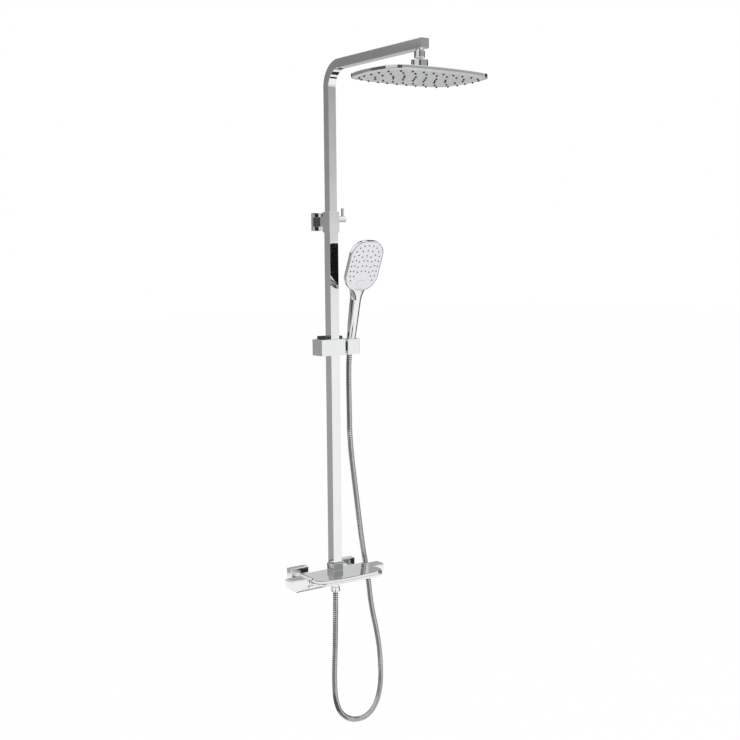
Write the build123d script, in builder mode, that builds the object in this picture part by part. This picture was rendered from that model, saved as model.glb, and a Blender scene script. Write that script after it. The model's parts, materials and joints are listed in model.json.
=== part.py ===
"""Wall-mounted rainfall shower column with a shelf mixer, a telescopic riser and a hand shower.

Millimetres. The wall is the plane Y = 0, the front is -Y, +X is right and +Z is up. The origin lies on
the wall, midway between the two water inlets. Depths are distances out from the wall, towards -Y.
"""
from build123d import *
import math
import os

os.makedirs("parts", exist_ok=True)

# Wall inlets and their covers
inlet_spacing = 150.0
wall_thread_radius = 10.48
wall_thread_length = 20.0
wall_thread_relief = 1.0
wall_relief_radius = 9.6
union_radius = 13.2
union_length = 42.0
water_bore = 8.0
cover_width = 55.0
cover_depth = 20.5
cover_wall = 1.6
cover_bevel = 1.5
union_nut_across = 30.0
union_nut_length = 20.0
union_nut_lip = 6.0
tail_radius = 10.0
tail_flange_radius = 13.0
tail_flange = 2.5
tail_engagement = 7.0
washer_thickness = 2.0
fit_gap = 0.1
running_fit = 0.05
loose_gap = 0.3

# Mixer
hull_back = 61.0
hull_front = 106.0
hull_half_length = 100.5
hull_bottom = -17.0
hull_back_corner = 16.0
hull_front_corner = 26.0
shelf_under = 10.5
shelf_top = 22.5
shelf_skin = 2.5
shelf_wall = 3.0
shelf_half_front = 107.0
shelf_side_front = 162.0
shelf_bow = 5.0
shelf_corner = 40.0
shelf_edge_round = 7.0
flare_start = 115.5
flare_end = 121.5
flare_round = 6.0
cartridge_depth = 84.0
cartridge_height = 0.0
cartridge_radius = 14.5
cartridge_length = 50.5
cartridge_port = 6.5
channel_radius = 9.0
spindle_radius = 4.5
spindle_inside = 16.0
spindle_outside = 14.0
knob_gap = 1.0
knob_length = 46.0
knob_top = 19.5
knob_edge_round = 3.0
knob_end_back = 62.5
knob_end_front = 94.0
knob_back_corner = 3.0
knob_front_corner = 9.0
knob_bow_height = 30.0
knob_bow_length = 30.0
grub_radius = 2.0
grub_inset = 7.0

# Riser
riser_depth = 76.0
lower_tube_width = 25.6
lower_tube_wall = 1.0
upper_tube_width = 23.0
upper_tube_wall = 1.2
tube_edge_round = 0.8
collar_width = 30.5
collar_height = 18.5
spigot_radius = 9.0
spigot_depth = 14.0
spigot_plug_height = 26.0
spigot_bore = 6.0
sleeve_width = 31.0
sleeve_bottom = 907.5
sleeve_height = 52.5
sleeve_lip = 4.0
tube_overlap = 217.5
guide_height = 30.0
arm_height = 1325.2
arm_reach = 465.0
arm_bend_radius = 52.5
arm_cap = 2.0
arm_plug = 12.0

# Lock on the sleeve
lock_rise = 33.5
lock_screw_radius = 4.0
lock_knob_radius = 7.5
lock_knob_length = 27.0
lock_knob_gap = 0.5
lock_knob_bevel = 1.0
lock_thread = 10.0
lever_radius = 3.8
lever_round = 1.9
lever_top = 29.0
lever_offset = 20.0

# Wall bracket
bracket_rise = 27.5
bracket_plate_width = 47.0
bracket_plate_height = 46.0
bracket_plate_depth = 9.0
bracket_standoff = 19.0
bracket_base_radius = 11.4
bracket_socket_wall = 2.2
bracket_socket_length = 9.0
bracket_post_width = 24.7
wall_screw_radius = 2.5
wall_screw_length = 28.0
wall_screw_waist = 2.1
wall_screw_head_radius = 4.6
wall_screw_head = 3.5

# Rain head and its ball joint
head_inset = 20.5
head_half_width = 151.0
head_half_length = 107.0
head_bulge = 16.0
head_corner = 46.0
head_drop = 52.0
head_rim = 8.0
head_rise = 12.5
head_wall = 2.0
head_boss_half = 30.0
head_boss_bulge = 4.0
head_boss_corner = 11.0
face_thickness = 3.0
face_proud = 2.0
face_bevel = 6.0
mat_thickness = 2.0
nozzle_radius = 2.3
nozzle_reach = 3.0
nozzle_bore = 0.7
nozzle_rings = ((136.0, 86.0, 28), (105.0, 62.0, 20), (75.0, 24.0, 12))
nozzle_row_count = 4
nozzle_row_step = 30.0
ring_power = 4.0
ring_lead = 0.0
flange_radius = 19.4
flange_height = 19.7
ball_radius = 9.0
ball_drop = 23.7
ball_neck_radius = 5.2
ball_collar_radius = 8.0
ball_collar = 1.8
stem_radius = 6.5
stem_bore = 3.5
ball_mouth_radius = 4.5
swivel_nut_radius = 12.5
swivel_nut_length = 15.5
swivel_nut_floor = 1.5
swivel_nut_chamfer = 2.0
swivel_opening_radius = 7.9
swivel_thread_radius = 10.3
seat_ring_height = 3.5
nipple_neck_radius = 9.5
nipple_thread_radius = 8.0
nipple_seat_height = 3.0
strainer_radius = 3.9
strainer_thickness = 1.2
strainer_hole_ring = 2.0
strainer_hole_radius = 0.5
strainer_hole_count = 6

# Slider and holder on the lower riser
slider_bottom = 591.0
slider_height = 42.0
slider_left = 46.0
slider_right = 28.5
slider_back = 51.0
slider_front = 95.0
slider_edge_round = 1.0
insert_left = 33.0
insert_right = 22.0
insert_back = 54.0
insert_front = 89.6
insert_rise = 8.0
slide_clearance = 0.2
brake_pad_width = 12.0
brake_pad_height = 16.0
brake_pad_thickness = 5.0
pivot_radius = 5.0
pivot_grip = 5.0
pivot_gap = 5.5
pivot_washer_radius = 12.0
pivot_depth = 78.0
holder_width = 38.0
holder_height = 39.5
holder_back = 63.0
holder_front = 97.0
holder_edge_round = 1.5
hose_slot_width = 15.2

# Hand shower, measured along its handle from the middle of the holder
handle_tilt = 12.0
handle_depth = 80.0
handle_start = 26.0
handle_profile = (
    (11.7, 26.0),
    (12.6, 48.0),
    (13.7, 90.0),
    (14.5, 128.0),
    (14.6, 148.0),
    (11.5, 172.0),
    (5.0, 187.0),
)
handle_end = 190.0
handle_flare = 0.03
neck_sections = ((124.0, 0.0, 14.2, 14.2), (144.0, 1.2, 19.4, 13.2), (163.0, 3.6, 33.0, 6.2))
handle_bore = 6.0
handle_bore_end = 168.0
shower_face_along = 218.3
shower_face_out = 23.0
shower_face_tilt = 11.6
shower_width = 100.0
shower_length = 136.5
shower_corner = 40.5
shower_thickness = 15.0
shower_back_round = 9.0
shower_rim = 2.2
shower_recess = 6.5
shower_chamber = 11.5
shower_chamber_inset = 10.0
shower_face_thickness = 3.0
shower_mat_thickness = 1.5
shower_nozzle_radius = 1.5
shower_nozzle_reach = 1.0
shower_nozzle_rings = ((40.5, 55.5, 19), (30.5, 42.0, 13), (20.0, 28.0, 9))
shower_ring_power = 2.8
shower_ring_lead = 0.5
shower_ring_gap = 80.0
shower_jet_columns = 2
shower_jet_rows = 3
shower_jet_pitch_x = 12.0
shower_jet_pitch_y = 14.0
button_width = 24.0
button_height = 13.0
button_round = 5.0
button_offset = -47.0
button_proud = 1.0
button_travel = 1.5
inlet_thread_radius = 10.0
inlet_thread_length = 16.0
inlet_socket = 4.0
cone_top = 24.0
cone_bottom = -20.0
cone_top_radius = 12.2
cone_bottom_radius = 9.6
hose_seat = 8.0

# Hose, from the cone nut down to the mixer outlet
hose_radius = 7.0
hose_bore = 4.5
rib_depth = 0.7
rib_pitch = 7.5
rib_rise = 0.25
rib_crest = 0.7
rib_fall = 0.95
hose_lead = 25.0
bend_share = 0.45
hose_tip_height = 500.0
hose_neck_height = 415.0
hose_route = (
    (57.6, -66.6, 385.0),
    (64.5, -62.0, 327.7),
    (88.5, -50.5, 204.0),
    (112.5, -38.8, 80.0),
    (130.7, -31.0, 8.7),
    (141.4, -29.0, -41.3),
    (148.0, -31.0, -112.6),
    (160.4, -36.0, -176.1),
    (167.5, -42.0, -232.9),
    (167.5, -48.0, -300.0),
    (160.0, -53.0, -350.0),
    (141.0, -57.0, -390.0),
    (109.0, -60.5, -411.0),
    (72.0, -64.0, -410.5),
    (38.0, -67.5, -396.0),
    (13.0, -71.0, -372.0),
    (-1.0, -73.5, -338.0),
    (-6.0, -75.0, -298.0),
    (-6.1, -75.8, -245.0),
    (-3.0, -76.0, -188.0),
    (-1.8, -76.0, -130.0),
)
hose_final_run = 43.0

# Hose outlet under the mixer
outlet_radius = 10.0
outlet_thread_radius = 8.5
outlet_engagement = 8.0
outlet_neck = 7.0
outlet_spigot = 7.0
outlet_nut_radius = 12.0
outlet_nut_length = 11.5
outlet_bore = 6.0

# Planes: FRONT looks out of the wall, so its own x is X and its own y is Z
FRONT = Plane(origin=(0, 0, 0), x_dir=(1, 0, 0), z_dir=(0, -1, 0))
SIDE = Plane.YZ
CUT = Mode.SUBTRACT


def save(piece, name):
    """Label one finished piece and write it."""
    piece.part.label = name
    export_step(piece.part, f"parts/{name}.step")


def block(x0, x1, d0, d1, z0, z1, mode=Mode.ADD):
    """A straight block between two X values, two depths and two heights."""
    with BuildSketch(Plane.XY.offset(z0)) as base:
        with Locations(((x0 + x1) / 2, -(d0 + d1) / 2)):
            Rectangle(x1 - x0, d1 - d0)
    extrude(base.sketch, amount=z1 - z0, mode=mode)


def rod_x(x0, x1, depth, height, radius, mode=Mode.ADD):
    """A cylinder along X."""
    with BuildSketch(SIDE.offset(x0)) as base:
        with Locations((-depth, height)):
            Circle(radius)
    extrude(base.sketch, amount=x1 - x0, mode=mode)


def rod_out(d0, d1, x, height, radius, mode=Mode.ADD):
    """A cylinder that points out of the wall, from one depth to another."""
    with BuildSketch(FRONT.offset(d0)) as base:
        with Locations((x, height)):
            Circle(radius)
    extrude(base.sketch, amount=d1 - d0, mode=mode)


def rod_z(z0, z1, x, depth, radius, mode=Mode.ADD):
    """An upright cylinder."""
    with BuildSketch(Plane.XY.offset(z0)) as base:
        with Locations((x, -depth)):
            Circle(radius)
    extrude(base.sketch, amount=z1 - z0, mode=mode)


def square_column(z0, z1, width, rounding=0.0, mode=Mode.ADD):
    """An upright square bar on the riser's axis."""
    with BuildSketch(Plane.XY.offset(z0)) as base:
        with Locations((0, -riser_depth)):
            if rounding > 0:
                RectangleRounded(width, width, rounding)
            else:
                Rectangle(width, width)
    extrude(base.sketch, amount=z1 - z0, mode=mode)


# Wall unions, tails, nuts, washers and covers, one set for each inlet
tail_end = union_length + washer_thickness
body_top = shelf_top - shelf_skin
for side, word in ((-1, "left"), (1, "right")):
    inlet_x = side * inlet_spacing / 2

    with BuildPart() as union:
        rod_out(-wall_thread_length, -wall_thread_relief, inlet_x, 0, wall_thread_radius)
        rod_out(-wall_thread_relief, 0, inlet_x, 0, wall_relief_radius)
        rod_out(0, union_length, inlet_x, 0, union_radius)
        rod_out(-wall_thread_length, union_length, inlet_x, 0, water_bore, mode=CUT)
    save(union, f"wall_union_{word}")

    with BuildPart() as washer:
        rod_out(union_length, tail_end, inlet_x, 0, tail_flange_radius)
        rod_out(union_length, tail_end, inlet_x, 0, water_bore, mode=CUT)
    save(washer, f"union_washer_{word}")

    with BuildPart() as tail:
        rod_out(tail_end, tail_end + tail_flange, inlet_x, 0, tail_flange_radius)
        rod_out(tail_end, hull_back + tail_engagement, inlet_x, 0, tail_radius)
        rod_out(tail_end, hull_back + tail_engagement, inlet_x, 0, water_bore, mode=CUT)
    save(tail, f"inlet_tail_{word}")

    nut_shoulder = tail_end + tail_flange
    nut_front = nut_shoulder + union_nut_lip
    with BuildPart() as nut:
        with BuildSketch(FRONT.offset(nut_front - union_nut_length)):
            with Locations((inlet_x, 0)):
                RegularPolygon(union_nut_across / 2, 6, major_radius=False)
        extrude(amount=union_nut_length)
        rod_out(nut_front - union_nut_length, nut_shoulder, inlet_x, 0, union_radius + fit_gap, mode=CUT)
        rod_out(nut_shoulder, nut_front, inlet_x, 0, tail_radius + fit_gap, mode=CUT)
    save(nut, f"union_nut_{word}")

    with BuildPart() as cover:
        with BuildSketch(FRONT):
            with Locations((inlet_x, 0)):
                Rectangle(cover_width, cover_width)
        extrude(amount=cover_depth)
        front_edges = cover.faces().sort_by(Axis.Y)[0].edges()
        chamfer(front_edges, cover_bevel)
        with BuildSketch(FRONT):
            with Locations((inlet_x, 0)):
                Rectangle(cover_width - 2 * cover_wall, cover_width - 2 * cover_wall)
        extrude(amount=cover_depth - cover_wall, mode=CUT)
        rod_out(0, cover_depth, inlet_x, 0, union_radius + fit_gap, mode=CUT)
    save(cover, f"wall_cover_{word}")

# Mixer body: a trough-shaped bar with a raised back that fills the underside of the shelf
cartridge_bore = cartridge_radius + fit_gap
cartridge_outer = hull_half_length
cartridge_inner = cartridge_outer - cartridge_length


def hull_section(x, top):
    """Cross-section of the mixer and its knobs: a trough with a fuller curve at the front."""
    with BuildSketch(SIDE.offset(x)) as section:
        with Locations((-(hull_back + hull_front) / 2, (hull_bottom + top) / 2)):
            Rectangle(hull_front - hull_back, top - hull_bottom)
        low_back = section.vertices().group_by(Axis.Y)[0].sort_by(Axis.X)[-1]
        fillet(low_back, hull_back_corner)
        low_front = section.vertices().group_by(Axis.Y)[0].sort_by(Axis.X)[0]
        fillet(low_front, hull_front_corner)
    return section.sketch


with BuildPart() as mixer_body:
    extrude(hull_section(-hull_half_length, shelf_under), amount=2 * hull_half_length)
    raised = hull_half_length - shelf_wall
    block(-raised, raised, hull_back + shelf_wall, hull_front, shelf_under, body_top)
    for side in (-1, 1):
        ends = sorted((side * hull_half_length, side * cartridge_inner))
        rod_x(ends[0], ends[1], cartridge_depth, cartridge_height, cartridge_bore, mode=CUT)
        inlet_x = side * inlet_spacing / 2
        rod_out(hull_back, hull_back + tail_engagement, inlet_x, 0, tail_radius + fit_gap, mode=CUT)
        rod_out(hull_back, cartridge_depth, inlet_x, 0, water_bore, mode=CUT)
    rod_x(-cartridge_inner, cartridge_inner, cartridge_depth, cartridge_height, channel_radius, mode=CUT)
    rod_z(shelf_top - spigot_depth, body_top, 0, riser_depth, spigot_radius + fit_gap, mode=CUT)
    rod_z(hull_bottom, shelf_top - spigot_depth, 0, riser_depth, outlet_bore, mode=CUT)
    outlet_top = hull_bottom + outlet_engagement
    rod_z(hull_bottom, outlet_top, 0, riser_depth, outlet_thread_radius + fit_gap, mode=CUT)
save(mixer_body, "mixer_body")


def shelf_outline(inset, height):
    """Plan of the shelf, drawn in from its edge by an inset."""
    half_back = hull_half_length - inset
    half_front = shelf_half_front - inset
    back = hull_back + inset
    side_front = shelf_side_front - inset
    with BuildSketch(Plane.XY.offset(height)) as plan:
        with BuildLine():
            Polyline(
                (-half_front, -side_front),
                (-half_front, -flare_end),
                (-half_back, -flare_start),
                (-half_back, -back),
                (half_back, -back),
                (half_back, -flare_start),
                (half_front, -flare_end),
                (half_front, -side_front),
            )
            ThreePointArc(
                (-half_front, -side_front),
                (0, -(side_front + shelf_bow)),
                (half_front, -side_front),
            )
        make_face()
        fillet(plan.vertices().sort_by(Axis.Y)[2:6], flare_round)
        fillet(plan.vertices().sort_by(Axis.Y)[:2], shelf_corner - inset)
    return plan.sketch


with BuildPart() as shelf:
    extrude(shelf_outline(0, shelf_under), amount=shelf_top - shelf_under)
    top_edges = shelf.faces().sort_by(Axis.Z)[-1].edges().sort_by(Axis.Y)[:-1]
    fillet(top_edges, shelf_edge_round)
    extrude(shelf_outline(shelf_wall, shelf_under), amount=body_top - shelf_under, mode=CUT)
    rod_z(body_top, shelf_top, 0, riser_depth, spigot_radius + loose_gap, mode=CUT)
    rod_x(-hull_half_length, hull_half_length, cartridge_depth, cartridge_height, cartridge_bore, mode=CUT)
save(shelf, "shelf")

# Cartridges, rings, spindles, knobs and their grub screws
knob_inner = hull_half_length + knob_gap
knob_outer = knob_inner + knob_length
grub_x = knob_inner + grub_inset
for side, water, control in ((-1, "thermostat", "temperature"), (1, "diverter", "flow")):

    def span(first, last):
        """The two X values of a piece on this side, in rising order."""
        return sorted((side * first, side * last))

    with BuildPart() as cartridge:
        rod_x(*span(cartridge_inner, cartridge_outer), cartridge_depth, cartridge_height, cartridge_radius)
        spindle_tip = cartridge_outer - spindle_inside
        rod_x(
            *span(spindle_tip, cartridge_outer),
            cartridge_depth,
            cartridge_height,
            spindle_radius + running_fit,
            mode=CUT,
        )
        bore_ends = span(cartridge_inner, spindle_tip)
        rod_x(*bore_ends, cartridge_depth, cartridge_height, cartridge_port, mode=CUT)
        port_x = side * inlet_spacing / 2
        rod_out(hull_back, cartridge_depth, port_x, cartridge_height, cartridge_port, mode=CUT)
    save(cartridge, f"{water}_cartridge")

    spindle_end = knob_inner + spindle_outside
    with BuildPart() as spindle:
        rod_x(*span(spindle_tip, spindle_end), cartridge_depth, cartridge_height, spindle_radius)
    save(spindle, f"{control}_spindle")

    with BuildPart() as knob:
        ends = span(knob_inner, knob_outer)
        extrude(hull_section(ends[0], knob_top), amount=ends[1] - ends[0])
        with BuildSketch(Plane.XY.offset(hull_bottom)) as knob_plan:
            with BuildLine():
                Polyline(
                    (side * knob_inner, -hull_back),
                    (side * knob_outer, -knob_end_back),
                    (side * knob_outer, -knob_end_front),
                    (side * knob_inner, -hull_front),
                    close=True,
                )
            make_face()
            end_back = knob_plan.vertices().group_by(Axis.X)[-1 if side > 0 else 0].sort_by(Axis.Y)[-1]
            fillet(end_back, knob_back_corner)
            end_front = knob_plan.vertices().group_by(Axis.X)[-1 if side > 0 else 0].sort_by(Axis.Y)[0]
            fillet(end_front, knob_front_corner)
        extrude(amount=knob_top - hull_bottom, mode=Mode.INTERSECT)
        fillet(knob.faces().sort_by(Axis.Z)[-1].edges(), knob_edge_round)
        with BuildSketch(FRONT.offset(hull_back)):
            with BuildLine():
                bow_center = (side * (knob_outer - knob_bow_length), hull_bottom + knob_bow_height)
                bow_start = -90 if side > 0 else 180
                bow = EllipticalCenterArc(
                    bow_center,
                    knob_bow_length,
                    knob_bow_height,
                    bow_start,
                    arc_size=90,
                )
                Polyline(bow @ 0, (side * knob_outer, hull_bottom), bow @ 1)
            make_face()
        extrude(amount=hull_front - hull_back, mode=CUT)
        rod_x(*span(knob_inner, spindle_end), cartridge_depth, cartridge_height, spindle_radius, mode=CUT)
        rod_z(hull_bottom, cartridge_height, side * grub_x, cartridge_depth, grub_radius, mode=CUT)
    save(knob, f"{control}_knob")

# Outlet nipple, washer and nut at the lower end of the hose
outlet_face = hull_bottom - outlet_neck
outlet_tip = outlet_face - outlet_spigot
hose_nut_bottom = outlet_face - outlet_nut_length
with BuildPart() as outlet:
    rod_z(hull_bottom, hull_bottom + outlet_engagement, 0, riser_depth, outlet_thread_radius)
    rod_z(outlet_tip, hull_bottom, 0, riser_depth, outlet_radius)
    rod_z(outlet_tip, hull_bottom + outlet_engagement, 0, riser_depth, outlet_bore, mode=CUT)
save(outlet, "hose_outlet")

with BuildPart() as lower_washer:
    rod_z(outlet_tip - washer_thickness, outlet_tip, 0, riser_depth, outlet_radius)
    rod_z(outlet_tip - washer_thickness, outlet_tip, 0, riser_depth, hose_bore, mode=CUT)
save(lower_washer, "hose_washer_lower")

with BuildPart() as lower_nut:
    rod_z(hose_nut_bottom, outlet_face, 0, riser_depth, outlet_nut_radius)
    rod_z(outlet_tip - washer_thickness, outlet_face, 0, riser_depth, outlet_radius + fit_gap, mode=CUT)
    rod_z(hose_nut_bottom, outlet_face, 0, riser_depth, hose_bore, mode=CUT)
save(lower_nut, "hose_nut_lower")

# Riser: base collar, spigot, lower tube and sleeve
lower_tube_inside = lower_tube_width - 2 * lower_tube_wall
sleeve_top = sleeve_bottom + sleeve_height
lock_height = sleeve_bottom + lock_rise
bracket_height = sleeve_bottom + bracket_rise
upper_tube_bottom = sleeve_bottom - tube_overlap
lower_tube_top = sleeve_top - sleeve_lip
with BuildPart() as collar:
    square_column(shelf_top, shelf_top + collar_height, collar_width, tube_edge_round)
    square_column(shelf_top, shelf_top + collar_height, lower_tube_width, mode=CUT)
save(collar, "riser_collar")

with BuildPart() as spigot:
    rod_z(shelf_top - spigot_depth, shelf_top, 0, riser_depth, spigot_radius)
    square_column(shelf_top, shelf_top + spigot_plug_height, lower_tube_inside - 2 * fit_gap)
    rod_z(
        shelf_top - spigot_depth,
        shelf_top + spigot_plug_height,
        0,
        riser_depth,
        spigot_bore,
        mode=CUT,
    )
save(spigot, "riser_spigot")

lock_screw_hole = lock_screw_radius + loose_gap
with BuildPart() as lower_tube:
    square_column(shelf_top, lower_tube_top, lower_tube_width)
    square_column(shelf_top, lower_tube_top, lower_tube_inside, mode=CUT)
    rod_x(0, lower_tube_width, riser_depth, lock_height, lock_screw_hole, mode=CUT)
save(lower_tube, "riser_lower")

with BuildPart() as sleeve:
    square_column(sleeve_bottom, sleeve_top, sleeve_width, tube_edge_round)
    square_column(sleeve_bottom, lower_tube_top, lower_tube_width, mode=CUT)
    square_column(lower_tube_top, sleeve_top, upper_tube_width + 2 * loose_gap, mode=CUT)
    rod_x(0, sleeve_width, riser_depth, lock_height, lock_screw_hole, mode=CUT)
save(sleeve, "sleeve")

# Lock: a cross lever on a screw that bears on the upper tube
lock_inner = sleeve_width / 2 + lock_knob_gap
lock_outer = lock_inner + lock_knob_length
lock_lever_x = lock_inner + lever_offset
lever_seat = lock_height + lock_screw_radius
with BuildPart() as lock_screw:
    lock_tip = upper_tube_width / 2 + fit_gap
    rod_x(lock_tip, lock_inner + lock_thread, riser_depth, lock_height, lock_screw_radius)
save(lock_screw, "lock_screw")

with BuildPart() as lock_knob:
    rod_x(lock_inner, lock_outer, riser_depth, lock_height, lock_knob_radius)
    chamfer(lock_knob.faces().sort_by(Axis.X)[-1].edges(), lock_knob_bevel)
    rod_x(lock_inner, lock_inner + lock_thread, riser_depth, lock_height, lock_screw_radius, mode=CUT)
    rod_z(lever_seat, lock_height + lever_top, lock_lever_x, riser_depth, lever_radius, mode=CUT)
save(lock_knob, "lock_knob")

with BuildPart() as lever:
    rod_z(lever_seat, lock_height + lever_top, lock_lever_x, riser_depth, lever_radius)
    fillet(lever.faces().sort_by(Axis.Z)[-1].edges(), lever_round)
save(lever, "lock_lever")

# Wall bracket: base on the wall, plate with its socket, post to the sleeve
plate_front = bracket_standoff + bracket_plate_depth
sleeve_back = riser_depth - sleeve_width / 2
socket_radius = bracket_base_radius + fit_gap
with BuildPart() as bracket_base:
    rod_out(0, bracket_standoff, 0, bracket_height, bracket_base_radius)
    rod_out(0, bracket_standoff, 0, bracket_height, wall_screw_radius + fit_gap, mode=CUT)
    rod_out(
        bracket_standoff - wall_screw_head,
        bracket_standoff,
        0,
        bracket_height,
        wall_screw_head_radius + fit_gap,
        mode=CUT,
    )
save(bracket_base, "bracket_base")

with BuildPart() as wall_screw:
    screw_head_back = bracket_standoff - wall_screw_head
    screw_tip = screw_head_back - wall_screw_length
    rod_out(screw_tip, -wall_thread_relief, 0, bracket_height, wall_screw_radius)
    rod_out(-wall_thread_relief, screw_head_back, 0, bracket_height, wall_screw_waist)
    rod_out(screw_head_back, bracket_standoff, 0, bracket_height, wall_screw_head_radius)
save(wall_screw, "bracket_screw")

with BuildPart() as bracket_plate:
    with BuildSketch(FRONT.offset(bracket_standoff)):
        with Locations((0, bracket_height)):
            Rectangle(bracket_plate_width, bracket_plate_height)
    extrude(amount=bracket_plate_depth)
    socket_back = bracket_standoff - bracket_socket_length
    socket_outer = socket_radius + bracket_socket_wall
    rod_out(socket_back, bracket_standoff, 0, bracket_height, socket_outer)
    rod_out(socket_back, bracket_standoff, 0, bracket_height, socket_radius, mode=CUT)
save(bracket_plate, "bracket_plate")

with BuildPart() as bracket_post:
    with BuildSketch(FRONT.offset(plate_front)):
        with Locations((0, bracket_height)):
            Rectangle(bracket_post_width, bracket_post_width)
    extrude(amount=sleeve_back - plate_front)
save(bracket_post, "bracket_post")

# Upper tube with the bent arm, its guide and its end plug
arm_tube_end = arm_reach - arm_cap
upper_tube_inside = upper_tube_width - 2 * upper_tube_wall
arm_bottom = arm_height - upper_tube_width / 2
head_depth = arm_reach - head_inset
ball_height = arm_height - ball_drop
head_bottom = ball_height - head_drop
with BuildPart() as upper_tube:
    with BuildLine() as arm_path:
        FilletPolyline(
            (0, -riser_depth, upper_tube_bottom),
            (0, -riser_depth, arm_height),
            (0, -arm_tube_end, arm_height),
            radius=arm_bend_radius,
        )
    with BuildSketch(Plane.XY.offset(upper_tube_bottom)):
        with Locations((0, -riser_depth)):
            RectangleRounded(upper_tube_width, upper_tube_width, tube_edge_round)
    sweep()
    with BuildSketch(Plane.XY.offset(upper_tube_bottom)) as tube_bore:
        with Locations((0, -riser_depth)):
            Rectangle(upper_tube_inside, upper_tube_inside)
    sweep(tube_bore.sketch, path=arm_path.wires()[0], mode=CUT)
    rod_z(arm_bottom, arm_height, 0, head_depth, nipple_thread_radius + fit_gap, mode=CUT)
save(upper_tube, "riser_upper")

with BuildPart() as guide:
    square_column(upper_tube_bottom - guide_height / 2, upper_tube_bottom, lower_tube_inside - 2 * fit_gap)
    square_column(upper_tube_bottom, upper_tube_bottom + guide_height / 2, upper_tube_inside - 2 * fit_gap)
    rod_z(
        upper_tube_bottom - guide_height / 2,
        upper_tube_bottom + guide_height / 2,
        0,
        riser_depth,
        spigot_bore,
        mode=CUT,
    )
save(guide, "riser_guide")

with BuildPart() as arm_end:
    with BuildSketch(FRONT.offset(arm_tube_end)):
        with Locations((0, arm_height)):
            RectangleRounded(upper_tube_width, upper_tube_width, tube_edge_round)
    extrude(amount=arm_cap)
    with BuildSketch(FRONT.offset(arm_tube_end - arm_plug)):
        with Locations((0, arm_height)):
            Rectangle(upper_tube_inside - 2 * fit_gap, upper_tube_inside - 2 * fit_gap)
    extrude(amount=arm_plug)
    rod_z(arm_bottom, arm_height, 0, head_depth, nipple_neck_radius, mode=CUT)
save(arm_end, "arm_end_plug")

# Ball joint under the arm
nut_top = ball_height - swivel_opening_radius + swivel_nut_length
nut_bottom = nut_top - swivel_nut_length
nut_floor = nut_bottom + swivel_nut_floor
nipple_bottom = ball_height + nipple_seat_height
ball_seat = ball_radius + running_fit
with BuildPart() as nipple:
    rod_z(nut_top, arm_bottom, 0, head_depth, nipple_neck_radius)
    rod_z(nipple_bottom, nut_top, 0, head_depth, swivel_thread_radius - fit_gap)
    rod_z(arm_bottom, arm_bottom + nipple_thread_radius, 0, head_depth, nipple_thread_radius)
    rod_z(nipple_bottom, arm_bottom + nipple_thread_radius, 0, head_depth, ball_neck_radius, mode=CUT)
    with Locations((0, -head_depth, ball_height)):
        Sphere(ball_seat, mode=CUT)
save(nipple, "arm_nipple")

with BuildPart() as swivel_nut:
    rod_z(nut_bottom, nut_top, 0, head_depth, swivel_nut_radius)
    chamfer(swivel_nut.faces().sort_by(Axis.Z)[0].edges(), swivel_nut_chamfer)
    rod_z(nut_floor, nut_top, 0, head_depth, swivel_thread_radius, mode=CUT)
    rod_z(nut_bottom, nut_top, 0, head_depth, swivel_opening_radius, mode=CUT)
save(swivel_nut, "swivel_nut")

with BuildPart() as seat_ring:
    rod_z(nut_floor, nut_floor + seat_ring_height, 0, head_depth, swivel_thread_radius - fit_gap)
    rod_z(nut_floor, nut_floor + seat_ring_height, 0, head_depth, swivel_opening_radius, mode=CUT)
    with Locations((0, -head_depth, ball_height)):
        Sphere(ball_seat, mode=CUT)
save(seat_ring, "seat_ring")

head_top_face = head_bottom + head_rim + head_rise
flange_top = head_top_face + flange_height
with BuildPart() as ball_stem:
    with Locations((0, -head_depth, ball_height)):
        Sphere(ball_radius)
    rod_z(flange_top, ball_height, 0, head_depth, ball_neck_radius)
    rod_z(flange_top, flange_top + ball_collar, 0, head_depth, ball_collar_radius)
    rod_z(head_top_face - head_wall, flange_top, 0, head_depth, stem_radius)
    rod_z(head_top_face - head_wall, ball_height + ball_radius, 0, head_depth, stem_bore, mode=CUT)
    mouth_floor = ball_height - strainer_radius
    rod_z(mouth_floor, ball_height + ball_radius, 0, head_depth, ball_mouth_radius, mode=CUT)
save(ball_stem, "ball_stem")

with BuildPart() as strainer:
    strainer_bottom = ball_height - strainer_thickness / 2
    rod_z(strainer_bottom, strainer_bottom + strainer_thickness, 0, head_depth, strainer_radius)
    with BuildSketch(Plane.XY.offset(strainer_bottom)):
        with Locations((0, -head_depth)):
            with PolarLocations(strainer_hole_ring, strainer_hole_count):
                Circle(strainer_hole_radius)
    extrude(amount=strainer_thickness, mode=CUT)
save(strainer, "strainer")

with BuildPart() as flange:
    rod_z(head_top_face, flange_top, 0, head_depth, flange_radius)
    rod_z(head_top_face, flange_top, 0, head_depth, stem_radius, mode=CUT)
save(flange, "head_flange")


def bulged_plan(half_x, half_y, bulge, corner, height):
    """A rectangle with bowed sides and rounded corners, on the head's axis."""
    right, left = half_x - bulge, bulge - half_x
    back, front = half_y - bulge - head_depth, bulge - half_y - head_depth
    with BuildSketch(Plane.XY.offset(height)) as plan:
        with BuildLine():
            ThreePointArc((right, front), (half_x, -head_depth), (right, back))
            ThreePointArc((right, back), (0, half_y - head_depth), (left, back))
            ThreePointArc((left, back), (-half_x, -head_depth), (left, front))
            ThreePointArc((left, front), (0, -half_y - head_depth), (right, front))
        make_face()
        fillet(plan.vertices(), corner)
    return plan.sketch


def head_plan(inset, height):
    """The head's outline, drawn in by the given inset."""
    return bulged_plan(
        head_half_width - inset,
        head_half_length - inset,
        head_bulge,
        head_corner - inset,
        height,
    )


def boss_plan(height):
    """The outline of the raised middle of the head."""
    return bulged_plan(head_boss_half, head_boss_half, head_boss_bulge, head_boss_corner, height)


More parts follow.
